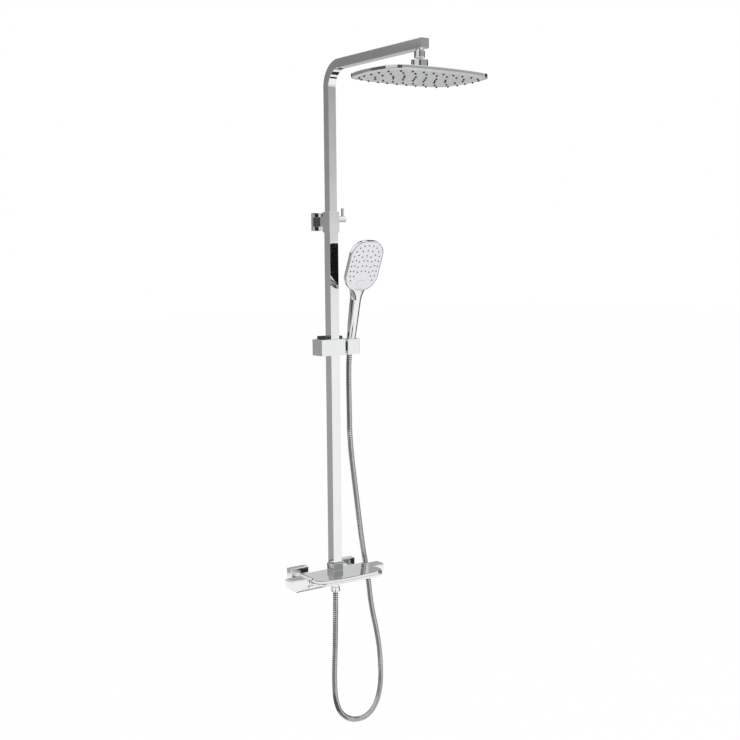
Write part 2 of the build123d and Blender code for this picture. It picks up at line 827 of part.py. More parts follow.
def power_ring(half_x, half_y, power, count, start, sweep_angle, first):
    """Points at even steps round a rounded rectangle, the first a share of a step from its start."""
    steps = 720
    curve = []
    for step in range(steps + 1):
        angle = math.radians(start + sweep_angle * step / steps)
        c, s = math.cos(angle), math.sin(angle)
        x = half_x * math.copysign(abs(c) ** (2 / power), c)
        y = half_y * math.copysign(abs(s) ** (2 / power), s)
        curve.append((x, y))
    travelled = [0.0]
    for here, after in zip(curve, curve[1:]):
        travelled.append(travelled[-1] + math.dist(here, after))
    points = []
    for index in range(count):
        wanted = travelled[-1] * (index + first) / count
        nearest = min(range(steps + 1), key=lambda step: abs(travelled[step] - wanted))
        points.append(curve[nearest])
    return points


# Rain head: shell, face and nozzle mat
rim_top = head_bottom + head_rim
face_bottom = head_bottom - face_proud
face_top = head_bottom + face_thickness
mat_top = face_top + mat_thickness
nozzle_bottom = face_bottom - nozzle_reach
with BuildPart() as head_shell:
    extrude(head_plan(0, head_bottom), amount=head_rim)
    loft([head_plan(0, rim_top), boss_plan(head_top_face)], ruled=True)
    extrude(head_plan(head_wall, head_bottom), amount=head_rim - head_wall, mode=CUT)
    loft(
        [head_plan(head_wall, rim_top - head_wall), boss_plan(head_top_face - head_wall)],
        ruled=True,
        mode=CUT,
    )
    rod_z(rim_top, head_top_face, 0, head_depth, stem_radius, mode=CUT)
save(head_shell, "head_shell")

row_middle = (nozzle_row_count - 1) / 2
nozzle_points = [((index - row_middle) * nozzle_row_step, 0.0) for index in range(nozzle_row_count)]
for half_x, half_y, count in nozzle_rings:
    nozzle_points += power_ring(half_x, half_y, ring_power, count, 0, 360, ring_lead)
nozzle_places = [(x, y - head_depth) for x, y in nozzle_points]
face_inset = head_wall + fit_gap
with BuildPart() as head_face:
    extrude(head_plan(face_inset, head_bottom), amount=face_thickness)
    loft([head_plan(face_inset, head_bottom), head_plan(face_inset + face_bevel, face_bottom)], ruled=True)
    with BuildSketch(Plane.XY.offset(face_bottom)):
        with Locations(nozzle_places):
            Circle(nozzle_radius + fit_gap)
    extrude(amount=face_top - face_bottom, mode=CUT)
save(head_face, "head_face")

with BuildPart() as nozzle_mat:
    extrude(head_plan(face_inset, face_top), amount=mat_thickness)
    with BuildSketch(Plane.XY.offset(nozzle_bottom)):
        with Locations(nozzle_places):
            Circle(nozzle_radius)
    extrude(amount=face_top - nozzle_bottom)
    with BuildSketch(Plane.XY.offset(nozzle_bottom)):
        with Locations(nozzle_places):
            Circle(nozzle_bore)
    extrude(amount=mat_top - nozzle_bottom, mode=CUT)
save(nozzle_mat, "head_nozzles")

# Slider: chrome block, dark insert round the tube and brake pad
slider_top = slider_bottom + slider_height
slide_half = lower_tube_width / 2 + slide_clearance
tube_back = riser_depth - slide_half
pad_half = brake_pad_width / 2
pad_back = tube_back - brake_pad_thickness
slider_middle = slider_bottom + slider_height / 2
with BuildPart() as slider_body:
    block(-slider_left, slider_right, slider_back, slider_front, slider_bottom, slider_top)
    fillet(slider_body.edges().filter_by(Axis.Z), slider_edge_round)
    block(-insert_left, insert_right, insert_back, insert_front, slider_bottom, slider_top, mode=CUT)
    rod_x(insert_right, slider_right, pivot_depth, slider_middle, pivot_radius, mode=CUT)
save(slider_body, "slider_body")

with BuildPart() as slider_insert:
    block(-insert_left, insert_right, insert_back, insert_front, slider_bottom, slider_top + insert_rise)
    insert_top = slider_top + insert_rise
    block(-slide_half, slide_half, tube_back, insert_front, slider_bottom, insert_top, mode=CUT)
    block(
        -pad_half,
        pad_half,
        pad_back,
        tube_back,
        slider_middle - brake_pad_height / 2,
        slider_middle + brake_pad_height / 2,
        mode=CUT,
    )
save(slider_insert, "slider_insert")

with BuildPart() as brake_pad:
    block(
        -pad_half,
        pad_half,
        pad_back,
        tube_back,
        slider_middle - brake_pad_height / 2,
        slider_middle + brake_pad_height / 2,
    )
save(brake_pad, "brake_pad")

# Holder on its pivot, with the tilted conical socket
holder_left = slider_right + pivot_gap
holder_right = holder_left + holder_width
handle_x = holder_left + holder_width / 2
with BuildPart() as pivot_pin:
    rod_x(insert_right, holder_left + pivot_grip, pivot_depth, slider_middle, pivot_radius)
save(pivot_pin, "pivot_pin")

with BuildPart() as pivot_washer:
    rod_x(slider_right, holder_left, pivot_depth, slider_middle, pivot_washer_radius)
    rod_x(slider_right, holder_left, pivot_depth, slider_middle, pivot_radius, mode=CUT)
save(pivot_washer, "pivot_washer")

tilt = math.radians(handle_tilt)
along = Vector(0, -math.sin(tilt), math.cos(tilt))
outward = Vector(0, -math.cos(tilt), -math.sin(tilt))
grip_centre = Vector(handle_x, -handle_depth, slider_middle)
handle_plane = Plane(origin=grip_centre, x_dir=(1, 0, 0), z_dir=outward)
handle_axis = Axis(grip_centre, along)


def turned(points, mode=Mode.ADD):
    """A solid turned round the handle's axis, from (radius, distance along) corners."""
    with BuildSketch(handle_plane) as profile:
        with BuildLine():
            Polyline(*points, close=True)
        make_face()
    revolve(profile.sketch, axis=handle_axis, mode=mode)


cone_slope = (cone_top_radius - cone_bottom_radius) / (cone_top - cone_bottom)
socket_low = cone_bottom - holder_height
socket_high = cone_top + holder_height
holder_bottom = slider_middle - holder_height / 2
holder_top = slider_middle + holder_height / 2
with BuildPart() as holder:
    block(holder_left, holder_right, holder_back, holder_front, holder_bottom, holder_top)
    fillet(holder.edges().filter_by(Axis.Z), holder_edge_round)
    turned(
        (
            (0, socket_low),
            (cone_bottom_radius + running_fit + cone_slope * (socket_low - cone_bottom), socket_low),
            (cone_top_radius + running_fit + cone_slope * (socket_high - cone_top), socket_high),
            (0, socket_high),
        ),
        mode=CUT,
    )
    block(
        handle_x - hose_slot_width / 2,
        handle_x + hose_slot_width / 2,
        holder_back,
        handle_depth,
        holder_bottom,
        holder_top,
        mode=CUT,
    )
    rod_x(
        holder_left,
        holder_left + pivot_grip + fit_gap,
        pivot_depth,
        slider_middle,
        pivot_radius + running_fit,
        mode=CUT,
    )
save(holder, "holder")

# Hand shower
face_turn = math.radians(handle_tilt + shower_face_tilt)
face_centre = grip_centre + along * shower_face_along + outward * shower_face_out
face_plane = Plane(
    origin=face_centre,
    x_dir=(1, 0, 0),
    z_dir=(0, -math.cos(face_turn), -math.sin(face_turn)),
)
recess_width = shower_width - 2 * shower_rim
recess_length = shower_length - 2 * shower_rim
recess_corner = shower_corner - shower_rim


def face_slab(width, length, corner, near, far, mode=Mode.ADD):
    """A rounded slab on the hand shower's face plane, between two distances along its normal."""
    with BuildSketch(face_plane.offset(near)) as plan:
        RectangleRounded(width, length, corner)
    extrude(plan.sketch, amount=far - near, mode=mode)


with BuildPart() as shower_shell:
    face_slab(shower_width, shower_length, shower_corner, -shower_thickness, 0)
    back_rim = shower_shell.faces().sort_by(Axis(face_centre, face_plane.z_dir))[0].edges()
    fillet(back_rim, shower_back_round)
    with BuildSketch(handle_plane):
        with BuildLine():
            Line((0, handle_start), handle_profile[0])
            Spline(*handle_profile, (0, handle_end), tangents=((handle_flare, 1), (-1, 0)))
            Line((0, handle_end), (0, handle_start))
        make_face()
    revolve(axis=handle_axis)
    for neck_at, neck_out, neck_half_width, neck_half_depth in neck_sections:
        neck_centre = grip_centre + along * neck_at + outward * neck_out
        with BuildSketch(Plane(origin=neck_centre, x_dir=(1, 0, 0), z_dir=along)):
            Ellipse(neck_half_width, neck_half_depth)
    loft()
    face_slab(recess_width, recess_length, recess_corner, -shower_recess, shower_thickness, mode=CUT)
    chamber = 2 * shower_chamber_inset
    face_slab(
        shower_width - chamber,
        shower_length - chamber,
        shower_corner - shower_chamber_inset,
        -shower_chamber,
        0,
        mode=CUT,
    )
    turned(
        (
            (0, handle_start),
            (handle_bore, handle_start),
            (handle_bore, handle_bore_end),
            (0, handle_bore_end),
        ),
        mode=CUT,
    )
    socket_end = handle_start + inlet_socket
    socket_bore = inlet_thread_radius + fit_gap
    turned(
        ((0, handle_start), (socket_bore, handle_start), (socket_bore, socket_end), (0, socket_end)),
        mode=CUT,
    )
save(shower_shell, "shower_shell")

shower_nozzles = []
for half_x, half_y, count in shower_nozzle_rings:
    open_ring = 360 - shower_ring_gap
    shower_nozzles += power_ring(
        half_x,
        half_y,
        shower_ring_power,
        count,
        shower_ring_gap / 2 - 90,
        open_ring,
        shower_ring_lead,
    )
for column in range(shower_jet_columns):
    for row in range(shower_jet_rows):
        jet_x = (column - (shower_jet_columns - 1) / 2) * shower_jet_pitch_x
        jet_y = (row - (shower_jet_rows - 1) / 2) * shower_jet_pitch_y
        shower_nozzles.append((jet_x, jet_y))

button_hole_width = button_width + 2 * loose_gap
button_hole_height = button_height + 2 * loose_gap
with BuildPart() as shower_face:
    plate_width = recess_width - 2 * fit_gap
    plate_length = recess_length - 2 * fit_gap
    plate_corner = recess_corner - fit_gap
    face_slab(plate_width, plate_length, plate_corner, -shower_face_thickness, 0)
    with BuildSketch(face_plane.offset(-shower_face_thickness)):
        with Locations(shower_nozzles):
            Circle(shower_nozzle_radius + fit_gap)
        with Locations((0, button_offset)):
            RectangleRounded(button_hole_width, button_hole_height, button_round + loose_gap)
    extrude(amount=shower_face_thickness, mode=CUT)
save(shower_face, "shower_face")

mat_back = shower_face_thickness + shower_mat_thickness
with BuildPart() as shower_mat:
    face_slab(plate_width, plate_length, plate_corner, -mat_back, -shower_face_thickness)
    with BuildSketch(face_plane.offset(-shower_face_thickness)):
        with Locations(shower_nozzles):
            Circle(shower_nozzle_radius)
    extrude(amount=shower_face_thickness + shower_nozzle_reach)
    with BuildSketch(face_plane.offset(-mat_back)):
        with Locations((0, button_offset)):
            RectangleRounded(button_hole_width, button_hole_height, button_round + loose_gap)
    extrude(amount=shower_mat_thickness, mode=CUT)
save(shower_mat, "shower_nozzles")

with BuildPart() as spray_button:
    button_back = shower_recess - button_travel - loose_gap
    with BuildSketch(face_plane.offset(-button_back)):
        with Locations((0, button_offset)):
            RectangleRounded(button_width, button_height, button_round)
    extrude(amount=button_back + button_proud)
save(spray_button, "spray_button")

with BuildPart() as shower_inlet:
    thread_end = handle_start - inlet_thread_length
    turned(
        (
            (handle_bore, thread_end),
            (inlet_thread_radius, thread_end),
            (inlet_thread_radius, socket_end),
            (handle_bore, socket_end),
        )
    )
save(shower_inlet, "shower_inlet")

with BuildPart() as upper_washer:
    turned(
        (
            (hose_bore, hose_seat),
            (inlet_thread_radius, hose_seat),
            (inlet_thread_radius, thread_end),
            (hose_bore, thread_end),
        )
    )
save(upper_washer, "hose_washer_upper")

with BuildPart() as cone_nut:
    turned(
        (
            (hose_bore, cone_bottom),
            (cone_bottom_radius, cone_bottom),
            (cone_top_radius, cone_top),
            (inlet_thread_radius + fit_gap, cone_top),
            (inlet_thread_radius + fit_gap, hose_seat),
            (hose_bore, hose_seat),
        )
    )
save(cone_nut, "hose_cone_nut")


def arc_radii(points):
    """The largest tangent arc that fits at each inner corner of a route."""
    radii = []
    for before, here, after in zip(points, points[1:], points[2:]):
        first = Vector(here) - Vector(before)
        second = Vector(after) - Vector(here)
        half_turn = math.radians(first.get_angle(second)) / 2
        radii.append(bend_share * min(first.length, second.length) / math.tan(half_turn))
    return radii


def ribbed_tube(points):
    """Outer ribs and the plain bore of one stretch of hose, as two lists of sections."""
    if len(points) > 2:
        radii = arc_radii(points)
        print("hose corner radii", [round(r) for r in radii])
        route = FilletPolyline(*points, radius=radii)
    else:
        route = Line(*points)
    length = route.length
    ribs = max(1, round(length / rib_pitch))
    pitch = length / ribs
    groove = hose_radius - rib_depth
    sections = []
    for rib in range(ribs):
        sections.append((rib * pitch, groove))
        sections.append(((rib + rib_rise) * pitch, hose_radius))
        sections.append(((rib + rib_crest) * pitch, hose_radius))
        sections.append(((rib + rib_fall) * pitch, groove))
    sections.append((length, groove))
    print("hose stretch", round(length, 1), "mm,", ribs, "ribs")
    return route, sections


def section_plane(route, distance):
    """The plane square to the route, its own x kept as near to Y as it can be."""
    share = min(1.0, max(0.0, distance / route.length))
    ahead = route.tangent_at(share)
    across = Vector(0, 1, 0) - ahead * ahead.Y
    return Plane(origin=route.position_at(share), x_dir=across, z_dir=ahead)


hose_start = grip_centre + along * cone_bottom
hose_lead_end = hose_start - along * hose_lead
straight_end = Vector(*hose_route[0])


def on_straight(height):
    """The point of the straight stretch at a height."""
    share = (hose_lead_end.Z - height) / (hose_lead_end.Z - straight_end.Z)
    return hose_lead_end + (straight_end - hose_lead_end) * share


hose_tip_end = on_straight(hose_tip_height)
hose_neck_end = on_straight(hose_neck_height)
hose_end = Vector(0, -riser_depth, hose_nut_bottom)
hose_last = Vector(0, -riser_depth, hose_nut_bottom - hose_final_run)
stretches = (
    ("hose_tip", (hose_start, hose_lead_end, hose_tip_end)),
    ("hose_neck", (hose_tip_end, hose_neck_end)),
    ("hose", (hose_neck_end, *hose_route, hose_last, hose_end)),
)
for name, points in stretches:
    route, sections = ribbed_tube(points)
    rings = [
        section_plane(route, distance) * Face(Wire(Edge.make_circle(radius)))
        for distance, radius in sections
    ]
    start_ring = section_plane(route, 0) * Face(Wire(Edge.make_circle(hose_bore)))
    with BuildPart() as hose:
        loft(rings, ruled=True)
        sweep(start_ring, path=route, mode=CUT)
    tube_area = math.pi * ((hose_radius - rib_depth * (1 - rib_crest)) ** 2 - hose_bore**2)
    print(name, "volume", round(hose.part.volume), "against", round(tube_area * route.length))
    save(hose, name)
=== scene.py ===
# %% [markdown]
# # Rainfall shower column
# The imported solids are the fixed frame: they carry every real size, so nothing here moves or reshapes
# them. This script lays the ribbed hose along its route, dresses every piece in a procedural finish, and
# sets up a white studio with a camera at the photograph's angle.

# %% Load the frame
import json
import math
import bpy
import bmesh
from mathutils import Matrix, Vector


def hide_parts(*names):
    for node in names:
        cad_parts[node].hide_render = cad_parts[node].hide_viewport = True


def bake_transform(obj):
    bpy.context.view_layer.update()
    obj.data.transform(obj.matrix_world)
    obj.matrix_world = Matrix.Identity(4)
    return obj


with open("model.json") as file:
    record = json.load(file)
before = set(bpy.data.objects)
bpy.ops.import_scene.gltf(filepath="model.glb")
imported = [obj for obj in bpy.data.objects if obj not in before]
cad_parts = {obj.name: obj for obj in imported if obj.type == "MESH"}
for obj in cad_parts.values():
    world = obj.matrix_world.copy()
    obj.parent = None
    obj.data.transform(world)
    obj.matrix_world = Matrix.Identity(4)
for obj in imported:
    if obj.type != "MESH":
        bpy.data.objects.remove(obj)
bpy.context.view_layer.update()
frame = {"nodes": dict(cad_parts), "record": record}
nodes = frame["nodes"]
scene = bpy.context.scene
print("solids:", len(nodes))

# %% [markdown]
# ## Camera
# A product photograph of a tall column is taken with a fairly long lens, from the front left and a little
# above the shelf. A camera can be placed by eye, or worked out from known sizes in the picture. This one
# was fitted to the spacing of the wall inlets and the square tubes, so the model lands on the photograph.

# %% Camera
CAMERA_PLACE = Vector((-1.6786, -2.5655, 0.8442))
YAW, PITCH, ROLL = math.radians(35.8345), math.radians(5.5766), math.radians(-0.5066)
FOCAL_PIXELS, FRAME_PIXELS = 1160.18, 740
SENSOR_WIDTH_MM, CLIP_END = 36.0, 100.0

ahead = Vector((math.sin(YAW) * math.cos(PITCH), math.cos(YAW) * math.cos(PITCH), -math.sin(PITCH)))
level = Vector((math.cos(YAW), -math.sin(YAW), 0.0))
above = level.cross(ahead)
right = math.cos(ROLL) * level + math.sin(ROLL) * above
up = -math.sin(ROLL) * level + math.cos(ROLL) * above

camera_data = bpy.data.cameras.new("camera")
camera_data.sensor_width = SENSOR_WIDTH_MM
camera_data.lens = SENSOR_WIDTH_MM * FOCAL_PIXELS / FRAME_PIXELS
camera_data.clip_end = CLIP_END
camera = bpy.data.objects.new("camera", camera_data)
scene.collection.objects.link(camera)
turn = Matrix((right, up, -ahead)).transposed().to_4x4()
camera.matrix_world = Matrix.Translation(CAMERA_PLACE) @ turn
scene.camera = camera
print("lens:", round(camera_data.lens, 2), "mm")

# %% [markdown]
# ## Node helpers
# Every finish is a small tree of shader nodes. It could be drawn by hand in the shader editor; here it is
# written out, so that it gives the same result each run. These helpers add a node, set its inputs by
# name, join two sockets, make a colour ramp, and start a node group with named sockets.


# %% Node helpers
def add(tree, kind, place=(0, 0), **values):
    node = tree.nodes.new(kind)
    node.location = place
    for name, value in values.items():
        setattr(node, name, value)
    return node


def preset(node, values):
    for socket, value in values.items():
        node.inputs[socket].default_value = value


def join(tree, source, output, target, inlet):
    tree.links.new(source.outputs[output], target.inputs[inlet])


def ramp(tree, stops, place=(0, 0)):
    node = add(tree, "ShaderNodeValToRGB", place)
    elements = node.color_ramp.elements
    while len(elements) < len(stops):
        elements.new(0.5)
    for element, (at, colour) in zip(elements, stops):
        element.position = at
        element.color = (*colour, 1.0)
    return node


def grey(level):
    return (level, level, level)


def group(name, inputs, outputs):
    tree = bpy.data.node_groups.new(name, "ShaderNodeTree")
    for label, kind, value in inputs:
        socket = tree.interface.new_socket(label, in_out="INPUT", socket_type=kind)
        socket.default_value = value
    for label, kind in outputs:
        tree.interface.new_socket(label, in_out="OUTPUT", socket_type=kind)
    return tree, add(tree, "NodeGroupInput", (-900, 0)), add(tree, "NodeGroupOutput", (700, 0))


FLOAT, VECTOR = "NodeSocketFloat", "NodeSocketVector"

# %% [markdown]
# ## Smudges
# Polished metal that hands and water touch is never evenly glossy: it has a broad cloudiness and small
# dried spots. Scans or painted maps could show that, but noise needs no picture and no unwrapping. The
# group puts out a roughness and the cloud itself, and each metal gives it its own values.

# %% Smudge group
smudge, smudge_in, smudge_out = group(
    "smudge",
    [("Low", FLOAT, 0.03), ("High", FLOAT, 0.09), ("Scale", FLOAT, 14.0)],
    [("Roughness", FLOAT), ("Cloud", FLOAT)],
)
place = add(smudge, "ShaderNodeTexCoord", (-900, -260))
cloud = add(smudge, "ShaderNodeTexNoise", (-620, 120))
preset(cloud, {"Detail": 5.0, "Roughness": 0.62})
spots = add(smudge, "ShaderNodeTexVoronoi", (-620, -220))
preset(spots, {"Scale": 210.0})
spot_edge = add(smudge, "ShaderNodeMapRange", (-400, -220), interpolation_type="SMOOTHSTEP")
preset(spot_edge, {"From Min": 0.16, "From Max": 0.05, "To Min": 0.0, "To Max": 1.0})
patches = add(smudge, "ShaderNodeMath", (-180, -120), operation="MULTIPLY")
spread = add(smudge, "ShaderNodeMapRange", (100, 160))
preset(spread, {"From Min": 0.3, "From Max": 0.75})
SPOT_ROUGHNESS = 0.05
total = add(smudge, "ShaderNodeMath", (380, 80), operation="MULTIPLY_ADD")
preset(total, {1: SPOT_ROUGHNESS})
join(smudge, place, "Object", cloud, "Vector")
join(smudge, place, "Object", spots, "Vector")
join(smudge, smudge_in, "Scale", cloud, "Scale")
join(smudge, spots, "Distance", spot_edge, "Value")
join(smudge, spot_edge, "Result", patches, 0)
join(smudge, cloud, "Fac", patches, 1)
join(smudge, cloud, "Fac", spread, "Value")
join(smudge, smudge_in, "Low", spread, "To Min")
join(smudge, smudge_in, "High", spread, "To Max")
join(smudge, patches, "Value", total, 0)
join(smudge, spread, "Result", total, 2)
join(smudge, total, "Value", smudge_out, "Roughness")
join(smudge, cloud, "Fac", smudge_out, "Cloud")
print("smudge:", len(smudge.nodes), "nodes")

# %% [markdown]
# ## Grain
# Moulded plastic, silicone and satin faces have a fine, even texture that softens reflections. It is far
# too small to model, so a bump from fine noise lifts the surface in the shader alone.

# %% Grain group
grain, grain_in, grain_out = group(
    "grain", [("Scale", FLOAT, 900.0), ("Depth", FLOAT, 0.1)], [("Normal", VECTOR), ("Fac", FLOAT)]
)
place = add(grain, "ShaderNodeTexCoord", (-900, -260))
fine = add(grain, "ShaderNodeTexNoise", (-500, 0))
preset(fine, {"Detail": 3.0})
raised = add(grain, "ShaderNodeBump", (0, 0))
preset(raised, {"Distance": 0.0003})
join(grain, place, "Object", fine, "Vector")
join(grain, grain_in, "Scale", fine, "Scale")
join(grain, grain_in, "Depth", raised, "Strength")
join(grain, fine, "Fac", raised, "Height")
join(grain, raised, "Normal", grain_out, "Normal")
join(grain, fine, "Fac", grain_out, "Fac")
print("grain:", len(grain.nodes), "nodes")

# %% [markdown]
# ## Polished metal
# Chrome is a thin, hard, mirror-bright plating over brass or plastic. Its tone hardly changes, so what
# one sees is the room in it. The edges of plated pieces are never knife sharp; a Bevel node rounds them
# in the shading, which leaves the solids as they are.


# %% Polished metal
def finish(name, metallic=0.0):
    material = bpy.data.materials.new(name)
    material.use_nodes = True
    shader = material.node_tree.nodes["Principled BSDF"]
    preset(shader, {"Metallic": metallic})
    return material, material.node_tree, shader


SOFT_EDGE, EDGE_SAMPLES = 0.0006, 6
CLOUD_DARK, CLOUD_LIGHT = 0.25, 0.75


def polished(name, tones, gloss, scale=14.0, edge=SOFT_EDGE):
    """Bright metal: a faint cloud in the tone, uneven gloss and softly rounded edges."""
    material, tree, shader = finish(name, metallic=1.0)
    wear = add(tree, "ShaderNodeGroup", (-700, 0), node_tree=smudge)
    preset(wear, {"Low": gloss[0], "High": gloss[1], "Scale": scale})
    tone = ramp(tree, [(CLOUD_DARK, tones[0]), (CLOUD_LIGHT, tones[1])], (-420, 200))
    join(tree, wear, "Cloud", tone, "Fac")
    join(tree, tone, "Color", shader, "Base Color")
    join(tree, wear, "Roughness", shader, "Roughness")
    if edge:
        rounded = add(tree, "ShaderNodeBevel", (-420, -260), samples=EDGE_SAMPLES)
        preset(rounded, {"Radius": edge})
        join(tree, rounded, "Normal", shader, "Normal")
    return material


# %% [markdown]
# ## Moulded surfaces
# The spray faces, the nozzles, the slider's insert and the washers are moulded. Two close tones in the
# grain keep them from looking like flat paint, and the same grain lifts the surface and varies the gloss.


# %% Moulded surfaces
GLOSS_SWING = 0.15
GRAIN_DARK, GRAIN_LIGHT = 0.3, 0.7


def moulded(name, tones, roughness, scale=900.0, depth=0.12):
    """A moulded or satin surface: two close tones in a fine grain that also lifts the surface."""
    material, tree, shader = finish(name)
    texture = add(tree, "ShaderNodeGroup", (-700, 0), node_tree=grain)
    preset(texture, {"Scale": scale, "Depth": depth})
    tone = ramp(tree, [(GRAIN_DARK, tones[0]), (GRAIN_LIGHT, tones[1])], (-420, 200))
    gloss = add(tree, "ShaderNodeMapRange", (-420, -60))
    preset(gloss, {"To Min": roughness * (1 - GLOSS_SWING), "To Max": roughness * (1 + GLOSS_SWING)})
    join(tree, texture, "Fac", tone, "Fac")
    join(tree, texture, "Fac", gloss, "Value")
    join(tree, tone, "Color", shader, "Base Color")
    join(tree, gloss, "Result", shader, "Roughness")
    join(tree, texture, "Normal", shader, "Normal")
    return material


# %% [markdown]
# ## Wound metal
# A metal hose is a steel strip wound in a spiral, with a narrow dark groove between the turns. The ribs
# are real geometry further down; here the grooves, which the mesh marks with a value from 0 to 1, are
# also given painted shade in their colour, since so little light comes back out of them.

# %% Wound metal
HOSE_TONES, HOSE_GLOSS = ((0.64, 0.645, 0.655), (0.74, 0.745, 0.75)), (0.05, 0.12)
GROOVE_SHADE_STOPS = [(0.06, grey(1.0)), (0.5, grey(0.03))]
MIX_SHARE, MIX_FIRST, MIX_SECOND, MIX_RESULT = 0, 6, 7, 2


def wound(name):
    """Polished winding with painted shade in its grooves, which the mesh marks."""
    material = polished(name, HOSE_TONES, HOSE_GLOSS, scale=60.0, edge=0.0)
    tree = material.node_tree
    shader = tree.nodes["Principled BSDF"]
    tone = shader.inputs["Base Color"].links[0].from_socket
    depth = add(tree, "ShaderNodeAttribute", (-700, 420), attribute_name="groove")
    shade = ramp(tree, GROOVE_SHADE_STOPS, (-420, 480))
    # Painted shade: the base colour is multiplied almost to black down in each groove.
    groove_shaded = add(tree, "ShaderNodeMix", (-120, 300), data_type="RGBA", blend_type="MULTIPLY")
    preset(groove_shaded, {MIX_SHARE: 1.0})
    tree.links.new(tone, groove_shaded.inputs[MIX_FIRST])
    join(tree, depth, "Fac", shade, "Fac")
    join(tree, shade, "Color", groove_shaded, MIX_SECOND)
    join(tree, groove_shaded, MIX_RESULT, shader, "Base Color")
    return material


# %% [markdown]
# ## The finishes
# One finish for each material slot of the part: chrome, plated plastic with its rounder edges, the
# mirror-bright shelf top, the wound hose, satin spray faces, brass inside, plastics, silicone nozzles and
# rubber washers. Each row gives the darker and lighter tone, and the gloss or roughness.

# %% The finishes
CHROME = {"tones": ((0.82, 0.825, 0.835), (0.88, 0.885, 0.89)), "gloss": (0.03, 0.07)}
PLATED_EDGE = 0.0022
MIRROR_TONES = ((0.78, 0.785, 0.79), (0.84, 0.845, 0.85))
BRASS_TONES = ((0.62, 0.43, 0.17), (0.75, 0.56, 0.27))
SATIN_TONES = ((0.56, 0.565, 0.57), (0.62, 0.625, 0.63))
DARK_TONES = ((0.022, 0.023, 0.025), (0.034, 0.035, 0.037))
WHITE_TONES = ((0.74, 0.735, 0.78), (0.8, 0.795, 0.84))
SILICONE_TONES = ((0.03, 0.03, 0.034), (0.05, 0.05, 0.055))
RUBBER_TONES = (grey(0.014), grey(0.026))
CARTRIDGE_TONES = ((0.3, 0.29, 0.25), (0.4, 0.39, 0.34))

finishes = {
    "chrome": polished("chrome", **CHROME),
    "plated_plastic": polished("plated_plastic", **CHROME, edge=PLATED_EDGE),
    "mirror_top": polished("mirror_top", MIRROR_TONES, gloss=(0.02, 0.05)),
    "hose_steel": wound("hose_steel"),
    "satin": moulded("satin", SATIN_TONES, roughness=0.45, scale=1400.0, depth=0.08),
    "brass": polished("brass", BRASS_TONES, gloss=(0.22, 0.4)),
    "dark_plastic": moulded("dark_plastic", DARK_TONES, roughness=0.42),
    "white_plastic": moulded("white_plastic", WHITE_TONES, roughness=0.3),
    "grey_silicone": moulded("grey_silicone", SILICONE_TONES, roughness=0.55),
    "rubber": moulded("rubber", RUBBER_TONES, roughness=0.7),
    "cartridge_plastic": moulded("cartridge_plastic", CARTRIDGE_TONES, roughness=0.5),
}
finishes["satin_plastic"] = finishes["satin"]
print("finishes:", ", ".join(finishes))

# %% [markdown]
# ## Which piece wears which finish
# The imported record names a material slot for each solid, so the finishes follow it. A few fittings are
# brass underneath and chrome outside, as on any exposed mixer, and wear the chrome.

# %% Dress the solids
PLATED = {
    "arm_nipple", "wall_union_left", "wall_union_right", "union_nut_left", "union_nut_right",
    "inlet_tail_left", "inlet_tail_right",
}
for entry in frame["record"]["subparts"]:
    piece = nodes[entry["node"]]
    piece.data.materials.clear()
    slot = "chrome" if entry["node"] in PLATED else entry["material_slot"]
    piece.data.materials.append(finishes[slot])

# %% [markdown]
# ## The hose's route
# The hose hangs from the mixer's outlet in one loop and climbs behind the shelf to the hand shower. It is
# stiff, so it bends widely. Straight runs with rounded corners would look like bent wire, so the points
# steer one smooth NURBS curve for each stretch. There are three: the long hanging one, the neck at the
# slider, and the tip in the holder. Points are in millimetres.

# %% The hose's route
HANGING_STRETCH = (
    (0.0, -76.0, -35.5), (0.0, -76.0, -78.5), (-1.8, -76.0, -130.0), (-3.0, -76.0, -188.0),
    (-6.1, -75.8, -245.0), (-6.0, -75.0, -298.0), (-1.0, -73.5, -338.0), (13.0, -71.0, -372.0),
    (38.0, -67.5, -396.0), (72.0, -64.0, -410.5), (109.0, -60.5, -411.0), (141.0, -57.0, -390.0),
    (160.0, -53.0, -350.0), (167.5, -48.0, -300.0), (167.5, -42.0, -232.9), (160.4, -36.0, -176.1),
    (148.0, -31.0, -112.6), (141.4, -29.0, -41.3), (130.7, -31.0, 8.7), (112.5, -38.8, 80.0),
    (88.5, -50.5, 204.0), (76.5, -56.25, 265.85),
)
NECK_STRETCH = (
    (76.5, -56.25, 265.85), (64.5, -62.0, 327.7), (57.6, -66.6, 385.0), (56.846, -67.263, 415.0),
    (55.78, -68.2, 457.4), (54.709, -69.142, 500.0),
)
TIP_STRETCH = ((54.709, -69.142, 500.0), (53.0, -70.644, 567.983), (53.0, -75.842, 592.437))
MM_PER_M = 1000
LINE_ORDER, LINE_STEPS = 3, 40


def smooth_line(name, route):
    """Points read from one smooth curve that has the route as its control points."""
    curve = bpy.data.curves.new(name + "_line", "CURVE")
    curve.dimensions = "3D"
    curve.resolution_u = LINE_STEPS
    spline = curve.splines.new("NURBS")
    spline.points.add(len(route) - 1)
    for point, (x, y, z) in zip(spline.points, route):
        point.co = (x / MM_PER_M, y / MM_PER_M, z / MM_PER_M, 1.0)
    spline.order_u = LINE_ORDER
    spline.use_endpoint_u = True
    holder = bpy.data.objects.new(name + "_line", curve)
    scene.collection.objects.link(holder)
    bpy.context.view_layer.update()
    shown = holder.evaluated_get(bpy.context.evaluated_depsgraph_get())
    points = [v.co.copy() for v in bpy.data.meshes.new_from_object(shown).vertices]
    bpy.data.objects.remove(holder)
    return points


print("route points:", len(HANGING_STRETCH) + len(NECK_STRETCH) + len(TIP_STRETCH))

# %% [markdown]
# ## Ribs
# The winding shows as flat-topped ribs with a narrow groove between them. An array of rings or a screw
# modifier could make them; here rings of points are set along the line, wider on a rib and narrower in a
# groove, and joined into one closed tube, which bends with the hose as one piece.

